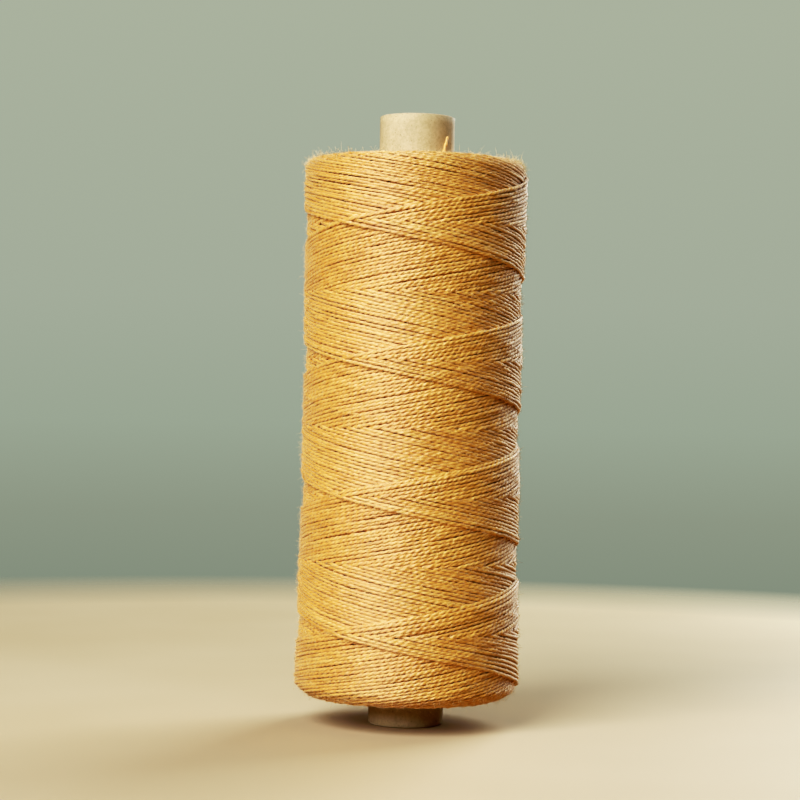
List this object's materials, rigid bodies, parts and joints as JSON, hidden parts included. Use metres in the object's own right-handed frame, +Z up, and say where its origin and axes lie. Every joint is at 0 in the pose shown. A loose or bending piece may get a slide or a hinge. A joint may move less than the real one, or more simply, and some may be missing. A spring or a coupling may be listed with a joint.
{
  "type": "spool of thread",
  "caption": "Straight paperboard tube carrying a cross-wound package of two-ply yarn, for a thread stand, winder or loom creel.",
  "frame": {"origin": "centre of the tube's bottom end, on the surface the spool stands on", "axes": "+Z up the tube's axis; -Y is the side seen from the front, where the start tail leans round to the right"},
  "size_m": [0.0554, 0.0554, 0.15],
  "materials": {
    "liner_paper": "smooth brown liner paper",
    "chipboard": "raw cut grey-brown chipboard",
    "kraft_paper": "matt light kraft paper with fine fibres",
    "yarn": "golden ochre two-ply yarn, slightly fuzzy"
  },
  "bodies": {
    "root": {"tube_inner_liner": "liner_paper", "tube_inner_core_ply": "chipboard", "tube_outer_core_ply": "chipboard", "tube_face_ply": "kraft_paper", "yarn_start_tail": "yarn", "yarn_inner_layers": "yarn", "yarn_middle_layers": "yarn", "yarn_outer_layers": "yarn", "yarn_finish_end": "yarn"}
  },
  "joints": []
}
